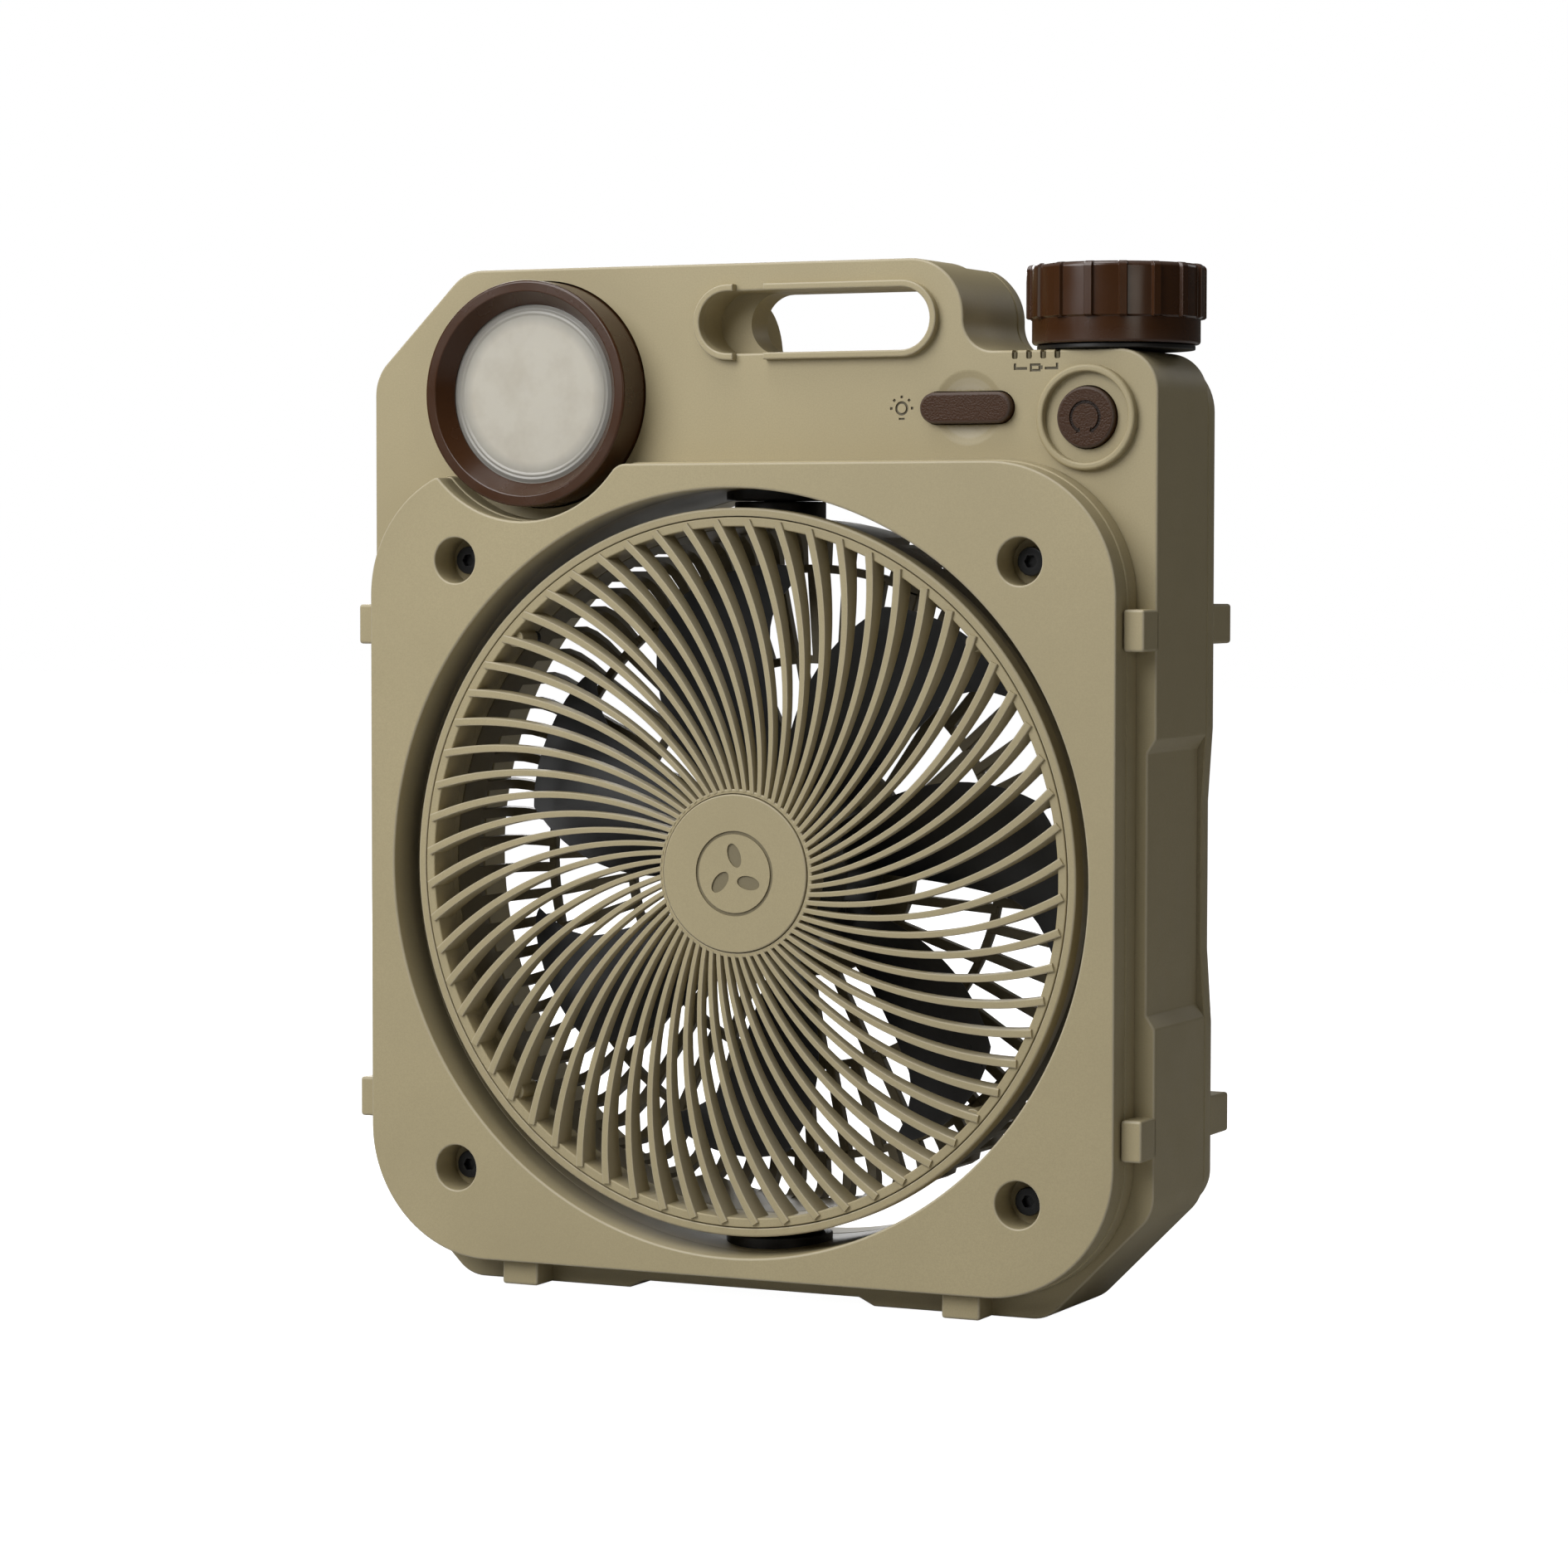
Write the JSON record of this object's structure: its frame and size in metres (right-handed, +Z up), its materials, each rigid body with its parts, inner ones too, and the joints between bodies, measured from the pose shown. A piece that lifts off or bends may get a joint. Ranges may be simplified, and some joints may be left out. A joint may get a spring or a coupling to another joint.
{
  "type": "box fan",
  "caption": "Portable box fan with a carrying slot: a round head with spiral ribs swings in a square case with a lamp, a speed knob and two buttons.",
  "frame": {"origin": "middle of the base: the centre of the bounding box in X and Y, at the level the fan stands on", "axes": "+X to the right of someone facing the fan, +Y to its back, +Z up"},
  "size_m": [0.2654, 0.0776, 0.3115],
  "materials": {
    "khaki_shell": "fine satin grain, khaki",
    "brown_trim": "fine texture, dark brown",
    "black_plastic": "satin black",
    "black_rubber": "soft black rubber",
    "black_screw": "black oxide steel",
    "charcoal_blade": "smooth charcoal",
    "lamp_lens": "clear rim and frosted middle",
    "white_plastic": "white",
    "circuit_board": "green board",
    "steel": "plain steel",
    "brass": "sintered bearing bronze and brass",
    "battery_wrap": "blue sleeve"
  },
  "bodies": {
    "housing": {"front_panel": "khaki_shell", "main_housing": "khaki_shell", "rear_cover": "khaki_shell", "lamp_bezel": "brown_trim", "knob_base_ring": "black_plastic", "upper_pivot_bush": "black_plastic", "lower_pivot_bush": "black_plastic", "battery_tray": "black_plastic", "light_switch": "black_plastic", "swing_switch": "black_plastic", "front_screw_1": "black_screw", "front_screw_2": "black_screw", "front_screw_3": "black_screw", "front_screw_4": "black_screw", "rear_screw_1": "black_screw", "rear_screw_2": "black_screw", "rear_screw_3": "black_screw", "rear_screw_4": "black_screw", "lamp_lens": "lamp_lens", "charge_light_pipe": "lamp_lens", "lamp_reflector": "white_plastic", "lamp_led_board": "circuit_board", "control_board": "circuit_board", "charge_board": "circuit_board", "potentiometer": "steel", "swing_motor": "steel", "usb_socket": "steel", "battery_cell_1": "battery_wrap", "battery_cell_2": "battery_wrap", "battery_cell_3": "battery_wrap"},
    "head": {"front_grille": "khaki_shell", "hub_cap": "khaki_shell", "head_rim": "khaki_shell", "rear_grille": "khaki_shell", "fan_motor": "steel", "front_bearing": "brass", "rear_bearing": "brass", "upper_trunnion": "black_plastic", "lower_trunnion": "black_plastic", "swing_gear": "white_plastic", "grille_screw_1": "black_screw", "grille_screw_2": "black_screw", "grille_screw_3": "black_screw", "grille_screw_4": "black_screw"},
    "impeller": {"impeller": "charcoal_blade", "motor_shaft": "steel", "impeller_nut": "brass"},
    "speed_knob": {"speed_knob": "brown_trim", "potentiometer_shaft": "steel"},
    "light_button": {"light_button": "brown_trim"},
    "swing_button": {"swing_button": "brown_trim"},
    "swing_pinion": {"swing_pinion": "white_plastic", "swing_motor_shaft": "steel"},
    "usb_cover": {"usb_cover": "black_rubber"}
  },
  "joints": [
    {"name": "head_swing", "type": "hinge", "parent": "housing", "child": "head", "pos_m": [-0.00263, -0.003, 0.129], "axis": [0, 0, 1], "range_deg": [-45, 45]},
    {"name": "impeller_spin", "type": "hinge", "parent": "head", "child": "impeller", "pos_m": [-0.00263, 0.00115, 0.129], "axis": [0, 1, 0], "continuous": true},
    {"name": "knob_turn", "type": "hinge", "parent": "housing", "child": "speed_knob", "pos_m": [0.10637, -0.003, 0.294], "axis": [0, 0, -1], "range_deg": [0, 270]},
    {"name": "light_press", "type": "slide", "parent": "housing", "child": "light_button", "axis": [0, 1, 0], "range_m": [0, 0.0012], "stiffness_N_per_m": 1200},
    {"name": "swing_press", "type": "slide", "parent": "housing", "child": "swing_button", "axis": [0, 1, 0], "range_m": [0, 0.0012], "stiffness_N_per_m": 1200},
    {"name": "pinion_turn", "type": "hinge", "parent": "housing", "child": "swing_pinion", "pos_m": [0.01987, -0.003, 0.251], "axis": [0, 0, 1], "range_deg": [-90, 90]},
    {"name": "usb_cover_hinge", "type": "hinge", "parent": "housing", "child": "usb_cover", "pos_m": [0.09337, 0.034, 0.2695], "axis": [1, 0, 0], "range_deg": [0, 100]}
  ],
  "couplings": [
    {"joint": "pinion_turn", "follows": "head_swing", "ratio": -2}
  ]
}
